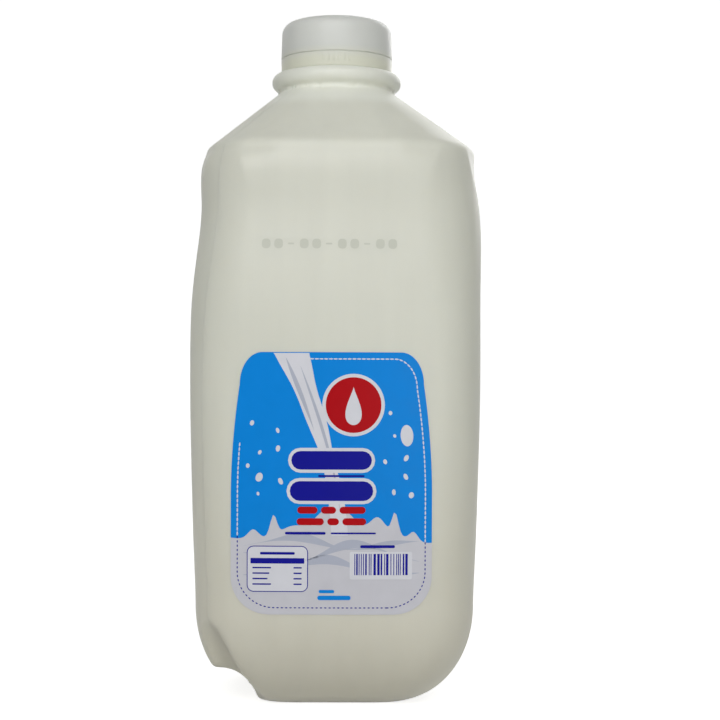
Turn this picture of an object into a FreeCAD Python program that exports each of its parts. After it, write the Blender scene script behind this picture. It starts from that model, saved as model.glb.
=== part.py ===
import FreeCAD, Part
import Sketcher
import math
import os

from FreeCAD import Placement, Vector

# A half-gallon plastic milk jug: a blow-moulded body with its corner handle, the milk in it,
# a snap-screw cap whose tear band is still joined to it, and a sticker on the front.
# Millimetres, +Z up, front towards -Y, origin at the middle of the base.
# The mould parts in the upright plane x = y. The handle stands at the rear right corner in
# that plane, and its pinch-off groove shows at the front left corner of the base.

SIZES = (
    # body, outer surface
    ("body_width", 103.6, "across the flats at the belly, measured where they meet the corners"),
    ("panel_bulge", 1.4, "how far the panels bow out between their corners"),
    ("belly_height", 135.5, "height of the widest section"),
    ("foot_width", 99.0, "across the flats where the heel starts"),
    ("heel_width", 29.0, "how far the heel's rounding reaches in under the body"),
    ("heel_height", 37.0, "how far it reaches up the sides"),
    ("heel_start", 16.0, "degrees of the heel's rounding left flat under the base"),
    ("shoulder_width", 97.5, "across the flats under the shoulder ridge"),
    ("shoulder_height", 202.0, "height of the shoulder ridge"),
    ("shoulder_shift", 1.5, "how far the shoulder stands over to the handle's two sides"),
    ("ridge_radius", 4.6, "rounding of the shoulder ridge"),
    ("low_corner", 17.5, "plan radius of the corners up to the belly"),
    ("high_corner", 28.5, "plan radius of the corners under the shoulder"),
    ("facet_start", 171.5, "height where the corner facets begin"),
    ("facet_angle", 34.0, "degrees of the corner that each facet takes under the ridge"),
    ("wall", 0.8, "thickness of the blown wall"),
    # neck
    ("neck_height", 222.0, "height of the neck's root"),
    ("neck_radius", 21.4, "neck below the bead"),
    ("bead_radius", 24.3, "outermost radius of the support bead"),
    ("bead_thickness", 6.5, "height of the support bead"),
    ("neck_wall", 1.6, "thickness of the threaded neck"),
    # cap with its tear band
    ("total_height", 250.0, "base to top of the cap"),
    ("cap_radius", 20.9, "outer radius of cap and band"),
    ("cap_height", 13.7, "height of the cap without its band"),
    ("cap_wall", 1.4, "thickness of the cap"),
    ("cap_rounding", 4.5, "rounding of the cap's top edge"),
    ("band_height", 5.1, "height of the tear band"),
    ("band_gap", 0.5, "slit between cap and band"),
    ("bridge_width", 1.2, "width of each bridge across the slit"),
    ("bridge_count", 12, "number of bridges"),
    ("bridge_bite", 0.4, "how far each bridge reaches into cap and band"),
    ("bridge_setback", 0.3, "how far each bridge stays behind both faces of the band"),
    ("cap_clearance", 0.3, "play between cap and neck"),
    # handle, measured along the diagonal from the axis
    ("grip_reach", 54.5, "axis to the middle of the grip"),
    ("grip_radius", 11.5, "radius of the hollow grip"),
    ("grip_lean", 2.5, "how far the grip leans in at either end"),
    ("grip_bend", 60.0, "radius of the grip's bends"),
    ("grip_root", 26.0, "how far the grip runs on inside the body below the scoop"),
    ("grip_head", 20.0, "how far it runs on above the scoop"),
    ("scoop_depth", 23.0, "axis to the wall behind the fingers"),
    ("scoop_bottom", 104.0, "height of the scoop's floor at that wall"),
    ("scoop_top", 173.5, "height of the scoop's roof at that wall"),
    ("floor_slope", 27.0, "degrees the scoop's floor falls outwards"),
    ("roof_slope", 20.0, "degrees the scoop's roof rises outwards"),
    ("scoop_rounding", 9.0, "rounding of the scoop's inner edges"),
    # base
    ("groove_radius", 6.5, "radius of the pinch-off groove in the heel"),
    ("groove_inset", 36.0, "axis to the foot of that groove at the floor"),
    ("groove_slope", 50.0, "degrees of the groove against the floor"),
    ("relief_radius", 13.0, "radius of the relief that cuts the left side's heel back"),
    ("relief_side", 41.0, "axis to the middle of the relief's front end, across the front"),
    ("relief_front", 32.0, "axis to the middle of its front end, towards the front"),
    ("relief_length", 60.0, "how far back the relief runs"),
    ("relief_turn", 3.0, "how far it draws in over that length"),
    ("relief_fall", 10.0, "how far it sinks under the base over that length"),
    ("dome_radius", 20.0, "radius of the push-up under the base"),
    ("dome_height", 3.2, "height of the push-up"),
    # milk
    ("milk_level", 216.0, "height of the milk's surface"),
    # sticker
    ("label_bottom", 34.6, "height of its lower edge"),
    ("label_height", 90.7, "lower to upper edge"),
    ("label_width", 69.6, "at its widest"),
    ("label_top_width", 48.0, "along its upper edge"),
    ("label_corner", 13.0, "radius of its lower corners"),
    ("label_shoulder", 63.0, "height above its lower edge where its sides lean in"),
    ("label_offset", -1.2, "middle of the sticker across the front"),
    ("label_thickness", 0.25, "thickness of the sticker"),
)

DIAGONAL = Vector(1, 1, 0).normalize()
ACROSS = Vector(1, -1, 0).normalize()
FAR = 90.0  # half the length of a cutting tool that runs right through the body
TINY_FACET = 4.0  # degrees kept for a facet where the corner is one round arc
FACET_FLATNESS = 0.92  # 1 would make each facet a straight chord
ROUND_FLAT = 0.6  # half length of the flats left where a section is as good as round
TINY_BULGE = 0.02  # bow kept in the flats of a section that has none

doc = FreeCAD.newDocument("milk_jug")
sheet = doc.addObject("Spreadsheet::Sheet", "Sizes")
for row, (alias, value, note) in enumerate(SIZES, start=1):
    sheet.set(f"A{row}", alias)
    sheet.set(f"B{row}", str(value))
    sheet.set(f"C{row}", note)
    sheet.setAlias(f"B{row}", alias)
doc.recompute()


def size(alias):
    return float(sheet.get(alias))


def blend(low, high, share):
    return low + (high - low) * min(max(share, 0.0), 1.0)


# ---- outline of the body, section by section ------------------------------------------


def half_width(height):
    """Half the width across the flats: widest at the belly, drawn in above and below."""
    belly, middle = size("body_width") / 2, size("belly_height")
    if height < middle:
        end, span, power = size("foot_width") / 2, middle - size("heel_height"), 1.8
    else:
        end, span, power = size("shoulder_width") / 2, size("shoulder_height") - middle, 1.7
    return belly - (belly - end) * (abs(height - middle) / span) ** power


def corner_radius(height):
    """Plan radius of the corners: small up to the belly, larger towards the shoulder."""
    middle, top = size("belly_height") - 20, size("shoulder_height")
    share = (height - middle) / (top - middle)
    return blend(size("low_corner"), size("high_corner"), share)


def facet_angle(height):
    """Degrees of each corner that a flat facet takes."""
    start, top = size("facet_start"), size("shoulder_height")
    return blend(TINY_FACET, size("facet_angle"), (height - start) / (top - start))


def panel_bulge(height):
    """How far the panels bow out at this height: most in the middle, nothing at the ends."""
    share = height / (size("shoulder_height") - size("ridge_radius"))
    if 0 < share < 1:
        return max(size("panel_bulge") * math.sin(math.pi * share), TINY_BULGE)
    return TINY_BULGE


def sideways(height):
    """How far a section is moved over to the handle's sides, in both x and y."""
    low, high = size("belly_height"), size("facet_start")
    if height > size("shoulder_height"):
        return 0.0
    share = blend(0, 1, (height - low) / (high - low))
    return size("shoulder_shift") * share * share * (3 - 2 * share)


def heel_rings(inset):
    """Half width, height, corner radius and facet angle up the heel's rounding."""
    across, up = size("heel_width"), size("heel_height")
    foot = size("foot_width") / 2
    start = math.radians(size("heel_start"))
    sunk = up * (1 - math.cos(start))
    rings = []
    for step in range(6):
        angle = start + (math.pi / 2 - start) * step / 6
        half = foot - across + (across - inset) * math.sin(angle)
        height = up - (up - inset) * math.cos(angle) - sunk
        corner = size("low_corner") * (half / foot) ** 0.5
        rings.append((half, max(height, inset), corner, TINY_FACET))
    return rings


def wall_rings(inset):
    """The same up the sides, from the heel to where the shoulder's ridge starts to round."""
    bottom = size("heel_height")
    top = size("shoulder_height") - size("ridge_radius")
    heights = [blend(bottom, top, step / 9) for step in range(10)]
    return [
        (half_width(h) - inset, h, corner_radius(h) - inset, facet_angle(h)) for h in heights
    ]


def ridge_rings(inset):
    """The same round the shoulder's ridge, up to where the shoulder runs straight."""
    top = size("shoulder_height")
    radius = size("ridge_radius")
    ridge = top - radius
    edge = half_width(ridge) - radius
    corner = corner_radius(ridge) - inset
    rings = []
    for step in range(4):
        angle = (math.pi / 2 - shoulder_slope()) * step / 3
        half = edge + (radius - inset) * math.cos(angle)
        height = ridge + (radius - inset) * math.sin(angle)
        rings.append((half, height, corner, facet_angle(ridge)))
    return rings


def shoulder_slope():
    """Angle of the straight shoulder against the floor."""
    edge = half_width(size("shoulder_height") - size("ridge_radius")) - size("ridge_radius")
    rise = size("neck_height") - size("shoulder_height")
    return math.atan2(rise, edge - size("neck_radius"))


def neck_ring(inset):
    """Where the straight shoulder meets the neck: the section is round there."""
    half, height, corner, angle = ridge_rings(inset)[-1]
    end = size("neck_radius") - inset
    rise = (half - end) * math.tan(shoulder_slope())
    return end, height + rise, end - ROUND_FLAT, angle


def ring_wire(half, height, corner, angle):
    """One closed section: four panels, and at each corner a facet, an arc and a facet."""
    flat = half - corner
    bow = half + panel_bulge(height)
    bend = math.radians(angle)
    share = (angle - TINY_FACET) / (size("facet_angle") - TINY_FACET)

    def on_arc(turn):
        return Vector(flat + corner * math.sin(turn), flat + corner * math.cos(turn), 0)

    def facet(start, end):
        middle = on_arc((start + end) / 2)
        chord = (on_arc(start) + on_arc(end)) * 0.5
        bowed = middle + (chord - middle) * (FACET_FLATNESS * share)
        return Part.Arc(on_arc(start), bowed, on_arc(end))

    quarter = math.pi / 2
    corner_edges = [
        facet(0, bend),
        Part.Arc(on_arc(bend), on_arc(quarter / 2), on_arc(quarter - bend)),
        facet(quarter - bend, quarter),
        Part.Arc(Vector(half, flat, 0), Vector(bow, 0, 0), Vector(half, -flat, 0)),
    ]
    edges = []
    for turn in range(4):
        for curve in corner_edges:
            edge = curve.toShape()
            edge.rotate(Vector(0, 0, 0), Vector(0, 0, 1), -90 * turn)
            edges.append(edge)
    wire = Part.Wire(edges)
    wire.translate(Vector(sideways(height), sideways(height), height))
    return wire


def body_form(inset):
    """The solid inside the outer surface, drawn in by inset all round."""
    heel, sides, ridge = heel_rings(inset), wall_rings(inset), ridge_rings(inset)
    stages = [heel + sides[:1], sides, [sides[-1]] + ridge[1:]]
    forms = [Part.makeLoft([ring_wire(*ring) for ring in stage], True) for stage in stages]
    slope = [ring_wire(*ridge[-1]), ring_wire(*neck_ring(inset))]
    forms.append(Part.makeLoft(slope, True, True))
    return forms[0].fuse(forms[1:])


# ---- cuts and grip --------------------------------------------------------------------


def on_diagonal(reach, height):
    point = DIAGONAL * reach
    return Vector(point.x, point.y, height)


def rounded_path(points, radius):
    """Edges through the points with each inner point rounded by a tangent arc."""
    edges = []
    start = points[0]
    for before, point, after in zip(points, points[1:], points[2:]):
        into, out = (before - point).normalize(), (after - point).normalize()
        half_angle = into.getAngle(out) / 2
        setback = radius / math.tan(half_angle)
        middle = (into + out).normalize() * (radius / math.sin(half_angle) - radius)
        first, last = point + into * setback, point + out * setback
        edges.append(Part.LineSegment(start, first).toShape())
        edges.append(Part.Arc(first, point + middle, last).toShape())
        start = last
    edges.append(Part.LineSegment(start, points[-1]).toShape())
    return edges


def scoop(grow):
    """The cut for the fingers: a profile in the diagonal plane, run right across."""
    depth = size("scoop_depth") - grow
    low, high = size("scoop_bottom") - grow, size("scoop_top") + grow
    fall = math.tan(math.radians(size("floor_slope")))
    rise = math.tan(math.radians(size("roof_slope")))
    outside = depth + FAR
    corners = [
        on_diagonal(outside, low - fall * FAR),
        on_diagonal(depth, low),
        on_diagonal(depth, high),
        on_diagonal(outside, high + rise * FAR),
    ]
    edges = rounded_path(corners, size("scoop_rounding") + grow)
    edges.append(Part.LineSegment(corners[-1], corners[0]).toShape())
    face = Part.Face(Part.Wire(edges))
    face.translate(ACROSS * -FAR)
    return face.extrude(ACROSS * (2 * FAR))


def grip(inset):
    """The tube of the grip, from inside the lower body to inside the corner above."""
    reach = size("grip_reach")
    low, high = size("scoop_bottom"), size("scoop_top")
    lean = size("grip_lean")
    radius = size("grip_radius") - inset
    third = (high - low) / 3
    points = [
        on_diagonal(reach - lean, low - size("grip_root")),
        on_diagonal(reach, low + third / 2),
        on_diagonal(reach - lean, high - third / 3),
        on_diagonal(reach - 3 * lean, high + size("grip_head")),
    ]
    path = Part.Wire(rounded_path(points, size("grip_bend")))
    along = (points[1] - points[0]).normalize()
    circle = Part.Wire(Part.Circle(points[0], along, radius).toShape())
    return path.makePipeShell([circle], True, True)


def relief(grow):
    """A round-nosed rod that cuts the heel back along the left side."""
    radius = size("relief_radius") + grow
    nose = Vector(-size("relief_side"), -size("relief_front"), 0)
    run = Vector(size("relief_turn"), size("relief_length"), -size("relief_fall"))
    along = Vector(run).normalize()
    aside = along.cross(Vector(0, 0, 1)).normalize()
    tip, rim = nose - along * radius, nose + aside * radius
    shoulder = nose + (aside - along).normalize() * radius
    profile = Part.Wire(
        [
            Part.Arc(tip, shoulder, rim).toShape(),
            Part.LineSegment(rim, rim + run).toShape(),
            Part.LineSegment(rim + run, nose + run).toShape(),
            Part.LineSegment(nose + run, tip).toShape(),
        ]
    )
    return Part.Face(profile).revolve(nose, along, 360)


def base_cuts(grow):
    """Pinch-off grooves in the heel at both ends of the parting plane, the relief that runs
    back from the front one under the left side, and the push-up."""
    radius = size("groove_radius") + grow
    slope = math.radians(size("groove_slope"))
    tools = []
    for side in (-1, 1):
        along = DIAGONAL * (side * math.cos(slope)) + Vector(0, 0, math.sin(slope))
        outward = DIAGONAL * (side * math.sin(slope)) - Vector(0, 0, math.cos(slope))
        foot = on_diagonal(side * size("groove_inset"), 0)
        centre = foot + outward * size("groove_radius") - along * FAR
        tools.append(Part.makeCylinder(radius, 2 * FAR, centre, along))
    tools.append(relief(grow))
    reach, height = size("dome_radius") + grow, size("dome_height") + grow
    ball = (reach**2 + height**2) / (2 * height)
    tools.append(Part.makeSphere(ball, Vector(0, 0, height - ball)))
    return tools


# ---- document objects -----------------------------------------------------------------


def feature(label, shape):
    made = doc.addObject("Part::Feature", label)
    made.Shape = shape
    made.Placement = Placement()
    return made


def primitive(kind, label, **sizes):
    made = doc.addObject(kind, label)
    for name, expression in sizes.items():
        made.setExpression(name.replace("Placement_", "Placement.Base."), expression)
    return made


def boolean(kind, label, *parts):
    made = doc.addObject(kind, label)
    if kind in ("Part::Cut", "Part::Common"):
        made.Base, made.Tool = parts
    else:
        made.Shapes = list(parts)
    return made


def blown_shape(inset):
    """The whole blown body drawn in by inset: the form, its handle and the base's cuts."""
    shape = body_form(inset).cut(scoop(inset)).fuse(grip(inset))
    for tool in base_cuts(inset):
        shape = shape.cut(tool)
    return shape


def build_jug():
    """The blown wall: everything inside the outer surface less the hollow."""
    wall = size("wall")
    blown = feature("blown_form", blown_shape(0))
    hollow_form = feature("hollow_form", blown_shape(wall))
    root = primitive(
        "Part::Cylinder",
        "neck_root",
        Radius="Sizes.neck_radius",
        Height="Sizes.total_height - Sizes.cap_height - Sizes.band_gap"
        " - Sizes.band_height - Sizes.bead_thickness / 2 - Sizes.neck_height + 2",
        Placement_z="Sizes.neck_height - 2",
    )
    finish = primitive(
        "Part::Cylinder",
        "neck_finish",
        Radius="Sizes.cap_radius - Sizes.cap_wall - Sizes.cap_clearance",
        Height="Sizes.total_height - Sizes.cap_wall - Sizes.neck_height",
        Placement_z="Sizes.neck_height",
    )
    bead = primitive(
        "Part::Torus",
        "support_bead",
        Radius1="Sizes.bead_radius - Sizes.bead_thickness / 2",
        Radius2="Sizes.bead_thickness / 2",
        Placement_z="Sizes.total_height - Sizes.cap_height - Sizes.band_gap"
        " - Sizes.band_height - Sizes.bead_thickness / 2",
    )
    bore = primitive(
        "Part::Cylinder",
        "neck_bore",
        Radius="Sizes.cap_radius - Sizes.cap_wall - Sizes.cap_clearance - Sizes.neck_wall",
        Height="Sizes.total_height - Sizes.shoulder_height",
        Placement_z="Sizes.shoulder_height",
    )
    outside = boolean("Part::MultiFuse", "jug_outside", blown, root, finish, bead)
    inside = boolean("Part::MultiFuse", "jug_inside", hollow_form, bore)
    return boolean("Part::Cut", "jug", outside, inside), outside, inside


def build_milk(inside):
    """The milk fills the hollow, grip included, up to its level."""
    block = primitive(
        "Part::Box",
        "milk_block",
        Length="2 * Sizes.body_width",
        Width="2 * Sizes.body_width",
        Height="Sizes.milk_level",
        Placement_x="-Sizes.body_width",
        Placement_y="-Sizes.body_width",
    )
    return boolean("Part::Common", "milk", inside, block)


def sketch_on(body, role, name):
    """A sketch on one of the body's own origin planes."""
    plane = next(f for f in body.Origin.OriginFeatures if f.Role == role)
    sketch = body.newObject("Sketcher::SketchObject", name)
    sketch.AttachmentSupport = [(plane, "")]
    sketch.MapMode = "FlatFace"
    return sketch


def closed_outline(sketch, corners):
    """Lines through the corners, joined end to end. Each corner is held by two distances,
    given as expressions, from the sketch's origin."""
    count = len(corners)
    values = [(sheet_value(across), sheet_value(up)) for across, up in corners]
    for index in range(count):
        start, end = Vector(*values[index], 0), Vector(*values[(index + 1) % count], 0)
        sketch.addGeometry(Part.LineSegment(start, end), False)
    for index in range(count):
        following = (index + 1) % count
        sketch.addConstraint(Sketcher.Constraint("Coincident", index, 2, following, 1))
    for index, (across, up) in enumerate(corners):
        for kind, expression, value in (
            ("DistanceX", across, values[index][0]),
            ("DistanceY", up, values[index][1]),
        ):
            place = sketch.addConstraint(Sketcher.Constraint(kind, -1, 1, index, 1, value))
            sketch.setExpression(f"Constraints[{place}]", expression)


def sheet_value(expression):
    """What an expression on the sheet comes to now, as a first value for its constraint."""
    names = {alias: size(alias) for alias, _, _ in SIZES}
    total = 0.0
    for term in expression.replace("- ", "+ -").split("+"):
        sign = -1.0 if term.strip().startswith("-") else 1.0
        word = term.strip().lstrip("-").strip().replace("Sizes.", "")
        total += sign * (names[word] if word in names else float(word))
    return total


def build_cap():
    """The cap, its tear band and the bridges that still hold the two together."""
    body = doc.addObject("PartDesign::Body", "cap")
    top, inner_top = "Sizes.total_height", "Sizes.total_height - Sizes.cap_wall"
    rim = "Sizes.total_height - Sizes.cap_height"
    outer, inner = "Sizes.cap_radius", "Sizes.cap_radius - Sizes.cap_wall"
    band_top = rim + " - Sizes.band_gap"
    band_bottom = band_top + " - Sizes.band_height"

    shell = sketch_on(body, "XZ_Plane", "cap_profile")
    under_crown = (("0", inner_top),)
    skirt = ((outer, top), (outer, rim), (inner, rim), (inner, inner_top))
    closed_outline(shell, (("0", top),) + skirt + under_crown)
    doc.recompute()
    turned = body.newObject("PartDesign::Revolution", "cap_turned")
    turned.Profile = shell
    turned.ReferenceAxis = (shell, ["V_Axis"])
    turned.Angle = 360
    doc.recompute()

    crown = body.newObject("PartDesign::Fillet", "cap_crown")
    crown.Base = (turned, [top_edge(turned.Shape)])
    crown.setExpression("Radius", "Sizes.cap_rounding")
    doc.recompute()

    bridge = sketch_on(body, "YZ_Plane", "bridge_profile")
    inside, outside = inner + " + Sizes.bridge_setback", outer + " - Sizes.bridge_setback"
    above, below = rim + " + Sizes.bridge_bite", band_top + " - Sizes.bridge_bite"
    closed_outline(
        bridge, ((inside, above), (outside, above), (outside, below), (inside, below))
    )
    doc.recompute()
    pad = body.newObject("PartDesign::Pad", "bridge")
    pad.Profile = bridge
    pad.Midplane = True
    pad.setExpression("Length", "Sizes.bridge_width")
    doc.recompute()

    ring = body.newObject("PartDesign::PolarPattern", "bridges")
    ring.Originals = [pad]
    axis = next(f for f in body.Origin.OriginFeatures if f.Role == "Z_Axis")
    ring.Axis = (axis, [""])
    ring.Angle = 360
    ring.setExpression("Occurrences", "Sizes.bridge_count")
    body.Tip = ring
    doc.recompute()

    band_profile = sketch_on(body, "XZ_Plane", "band_profile")
    closed_outline(
        band_profile,
        ((inner, band_top), (outer, band_top), (outer, band_bottom), (inner, band_bottom)),
    )
    doc.recompute()
    band = body.newObject("PartDesign::Revolution", "band")
    band.Profile = band_profile
    band.ReferenceAxis = (band_profile, ["V_Axis"])
    band.Angle = 360
    body.Tip = band
    doc.recompute()
    return body


def top_edge(shape):
    """Name of the outer circle at the top of the cap."""
    for number, edge in enumerate(shape.Edges, start=1):
        box = edge.BoundBox
        round_top = abs(box.ZMin - size("total_height")) < 0.01 and box.ZLength < 0.01
        if round_top and abs(box.XMax - size("cap_radius")) < 0.01:
            return f"Edge{number}"
    raise RuntimeError("the cap has no top edge")


def label_outline():
    """The sticker's outline on the front: round lower corners, sides that lean in."""
    low, height = size("label_bottom"), size("label_height")
    wide, narrow = size("label_width") / 2, size("label_top_width") / 2
    corner, shoulder = size("label_corner"), size("label_shoulder")
    step = wide - narrow
    near = corner * (1 - math.sqrt(0.5))
    top_turn = height - 0.12 * height

    def at(across, up):
        return Vector(across + size("label_offset"), 0, low + up)

    def side(hand):
        foot, heel = at(hand * (wide - corner), 0), at(hand * wide, corner)
        start = at(hand * wide, 0.65 * shoulder)
        turn = at(hand * (wide - 0.28 * step), top_turn)
        return [
            Part.Arc(foot, at(hand * (wide - near), near), heel),
            Part.LineSegment(heel, start),
            Part.Arc(start, at(hand * (wide - 0.09 * step), shoulder), turn),
            Part.Arc(turn, at(hand * (narrow + 0.4 * step), 0.97 * height), at(hand * narrow, height)),
        ]

    right = [curve.toShape() for curve in side(1)]
    left = [curve.toShape() for curve in side(-1)]
    top = Part.LineSegment(at(narrow, height), at(-narrow, height)).toShape()
    bottom = Part.LineSegment(at(-(wide - corner), 0), at(wide - corner, 0)).toShape()
    return Part.Wire(Part.__sortEdges__(right + left + [top, bottom]))


def build_label():
    """The sticker: a skin of its own thickness on the front, inside its outline."""
    skin = feature("label_skin", body_form(-size("label_thickness")).cut(body_form(0)))
    prism = Part.Face(label_outline()).extrude(Vector(0, -size("body_width"), 0))
    window = feature("label_window", prism)
    return boolean("Part::Common", "front_label", skin, window)


jug, jug_outside, jug_inside = build_jug()
doc.recompute()
milk = build_milk(jug_inside)
cap = build_cap()
label = build_label()
doc.recompute()

NODES = {"jug": jug, "milk": milk, "cap": cap, "front_label": label}

for item in doc.Objects:
    if "Invalid" in item.State or "Error" in item.State:
        raise RuntimeError(f"{item.Label} is {item.State}")
for name, item in NODES.items():
    if item.Shape.isNull() or not item.Shape.isValid():
        raise RuntimeError(f"{name} has no valid shape")
    if len(item.Shape.Solids) != 1:
        raise RuntimeError(f"{name} has {len(item.Shape.Solids)} solids")

os.makedirs("parts", exist_ok=True)
for name, item in NODES.items():
    item.Label = name
    item.Shape.exportStep(f"parts/{name}.step")
    box = item.Shape.optimalBoundingBox()
    print(
        f"{name}: {item.Shape.Volume / 1000:.1f} cm3, x {box.XMin:.2f} {box.XMax:.2f},"
        f" y {box.YMin:.2f} {box.YMax:.2f}, z {box.ZMin:.2f} {box.ZMax:.2f}"
    )
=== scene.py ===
"""Looks of a plastic milk jug: blow-moulded body, cap with its tear band, printed sticker.

Run as a script by Blender 4.5. Metres, +Z up, front towards -Y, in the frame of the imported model.
"""
import math
import random

import bmesh
import bpy
from bpy.props import FloatProperty, FloatVectorProperty, IntProperty, PointerProperty
from mathutils import Matrix, Vector
from mathutils.bvhtree import BVHTree


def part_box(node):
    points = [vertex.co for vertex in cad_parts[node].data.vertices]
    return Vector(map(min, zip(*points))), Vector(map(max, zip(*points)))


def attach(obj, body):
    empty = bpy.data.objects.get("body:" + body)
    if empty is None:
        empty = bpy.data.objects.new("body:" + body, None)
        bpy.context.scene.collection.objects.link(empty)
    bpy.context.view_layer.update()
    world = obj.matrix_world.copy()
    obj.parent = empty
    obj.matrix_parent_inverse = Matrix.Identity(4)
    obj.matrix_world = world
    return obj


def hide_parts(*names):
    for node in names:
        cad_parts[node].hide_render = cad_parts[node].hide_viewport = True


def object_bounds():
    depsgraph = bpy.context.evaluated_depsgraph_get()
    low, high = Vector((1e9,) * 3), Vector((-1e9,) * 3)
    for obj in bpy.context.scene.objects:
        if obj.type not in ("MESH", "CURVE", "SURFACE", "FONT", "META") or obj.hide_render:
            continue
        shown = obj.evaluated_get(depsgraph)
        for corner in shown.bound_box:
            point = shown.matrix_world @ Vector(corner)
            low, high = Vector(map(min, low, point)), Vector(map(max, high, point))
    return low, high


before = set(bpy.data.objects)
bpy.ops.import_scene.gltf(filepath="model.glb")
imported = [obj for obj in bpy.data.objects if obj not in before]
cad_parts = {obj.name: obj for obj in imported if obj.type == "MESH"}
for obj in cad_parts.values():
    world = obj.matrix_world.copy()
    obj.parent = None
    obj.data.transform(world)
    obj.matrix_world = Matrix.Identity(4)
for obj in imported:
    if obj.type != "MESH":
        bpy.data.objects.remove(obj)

bl_info = {
    "name": "Milk Jug Looks",
    "version": (1, 0, 0),
    "blender": (4, 5, 0),
    "location": "View3D > Sidebar > Jug",
    "description": "Models the finish of a plastic milk jug round its packed solids",
    "category": "Object",
}

MM = 0.001
CAD_LOW, CAD_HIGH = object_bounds()
JUG_LOW, JUG_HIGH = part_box("jug")
CAP_LOW, CAP_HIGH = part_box("cap")
LABEL_LOW, LABEL_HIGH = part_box("front_label")
MILK_LOW, MILK_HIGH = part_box("milk")


# ---- small helpers ----------------------------------------------------------------------


def linear(hex_colour):
    """An sRGB hex colour as linear RGBA."""
    values = []
    for start in (1, 3, 5):
        share = int(hex_colour[start : start + 2], 16) / 255
        values.append(share / 12.92 if share <= 0.04045 else ((share + 0.055) / 1.055) ** 2.4)
    return (*values, 1.0)


def colour_property(name, description, hex_colour):
    return FloatVectorProperty(
        name=name,
        description=description,
        subtype="COLOR",
        size=4,
        min=0.0,
        max=1.0,
        default=linear(hex_colour),
    )


def length_property(name, description, default_mm):
    return FloatProperty(
        name=name, description=description, default=default_mm * MM, unit="LENGTH", precision=5
    )


def new_object(name, mesh):
    piece = bpy.data.objects.new(name, mesh)
    bpy.context.scene.collection.objects.link(piece)
    return piece


def mesh_from(name, vertices, faces):
    mesh = bpy.data.meshes.new(name)
    mesh.from_pydata([tuple(v) for v in vertices], [], faces)
    mesh.validate()
    return mesh


def shade_smooth(mesh):
    mesh.polygons.foreach_set("use_smooth", [True] * len(mesh.polygons))
    mesh.update()


def baked(piece):
    """The piece with its modifiers worked into its mesh."""
    bpy.context.view_layer.update()
    graph = bpy.context.evaluated_depsgraph_get()
    mesh = bpy.data.meshes.new_from_object(piece.evaluated_get(graph))
    old = piece.data
    piece.modifiers.clear()
    piece.data = mesh
    bpy.data.meshes.remove(old)
    return piece


def finish_piece(piece, material, slot, *nodes):
    """Give the piece its material, its body and the solids it stands for."""
    piece.data.materials.clear()
    piece.data.materials.append(material)
    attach(piece, "root")
    if nodes:
        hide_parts(*nodes)
    return piece


def surface_of(piece):
    """A tree for casting rays onto a piece's mesh."""
    mesh = piece.data
    vertices = [v.co.copy() for v in mesh.vertices]
    return BVHTree.FromPolygons(vertices, [tuple(p.vertices) for p in mesh.polygons])


def add_node(tree, kind, settings=None, **links):
    """Add a node, set its properties, and its inputs from values or from other sockets."""
    node = tree.nodes.new(kind)
    for name, value in (settings or {}).items():
        setattr(node, name, value)
    for name, value in links.items():
        key = int(name[1:]) if name[0] == "i" and name[1:].isdigit() else name.replace("_", " ")
        socket = node.inputs[key]
        if isinstance(value, bpy.types.NodeSocket):
            tree.links.new(value, socket)
        else:
            socket.default_value = value
    return node


def new_material(name):
    """An empty node material and its tree."""
    material = bpy.data.materials.new(name)
    material.use_nodes = True
    material.node_tree.nodes.clear()
    return material, material.node_tree


def close_material(tree, shader):
    add_node(tree, "ShaderNodeOutputMaterial", Surface=shader.outputs[0])


def lathe(name, profile, segments, closed=True):
    """Turn (radius, height) points round the axis. A radius of zero makes a single pole."""
    vertices, rows = [], []
    for radius, height in profile:
        if radius < 1e-7:
            rows.append([len(vertices)] * segments)
            vertices.append((0, 0, height))
            continue
        row = []
        for step in range(segments):
            angle = 2 * math.pi * step / segments
            row.append(len(vertices))
            vertices.append((radius * math.cos(angle), radius * math.sin(angle), height))
        rows.append(row)
    faces = []
    pairs = list(zip(rows, rows[1:]))
    if closed:
        pairs.append((rows[-1], rows[0]))
    for low, high in pairs:
        for step in range(segments):
            after = (step + 1) % segments
            ring = [low[step], low[after], high[after], high[step]]
            unique = list(dict.fromkeys(ring))
            if len(unique) > 2:
                faces.append(unique)
    mesh = mesh_from(name, vertices, faces)
    form = bmesh.new()
    form.from_mesh(mesh)
    bmesh.ops.remove_doubles(form, verts=form.verts, dist=1e-6)
    bmesh.ops.recalc_face_normals(form, faces=form.faces)
    form.to_mesh(mesh)
    form.free()
    shade_smooth(mesh)
    return mesh


def arc(centre, radius, start, end, steps):
    """(radius, height) points of an arc, angles in degrees from the outward direction."""
    points = []
    for step in range(steps + 1):
        angle = math.radians(start + (end - start) * step / steps)
        points.append(
            (centre[0] + radius * math.cos(angle), centre[1] + radius * math.sin(angle))
        )
    return points


# ---- sizes and colours a user may change --------------------------------------------------


class JugSettings(bpy.types.PropertyGroup):
    voxel: length_property("Mesh size", "Edge length of the body's mesh", 1.25)
    soft_passes: IntProperty(
        name="Edge softness", description="Smoothing passes on the blown edges", default=3
    )
    seam_width: length_property("Seam width", "Width of the mould's parting line", 0.9)
    seam_proud: length_property("Seam height", "How far the parting line stands out", 0.11)
    plastic: colour_property("Plastic", "Milk-filled natural polyethylene", "#D9DACD")
    # painted shade: the plastic is darker towards the base
    plastic_shaded_base: colour_property("Lower plastic", "The same near the base", "#D3D0C0")
    # no milk stands behind the neck, and painted light shining through it makes it paler than the filled
    # body
    plastic_neck_lit_through: colour_property("Neck plastic", "The same where no milk stands", "#E4E6DB")
    milk: colour_property("Milk", "Whole milk", "#F4F1E4")


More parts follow.
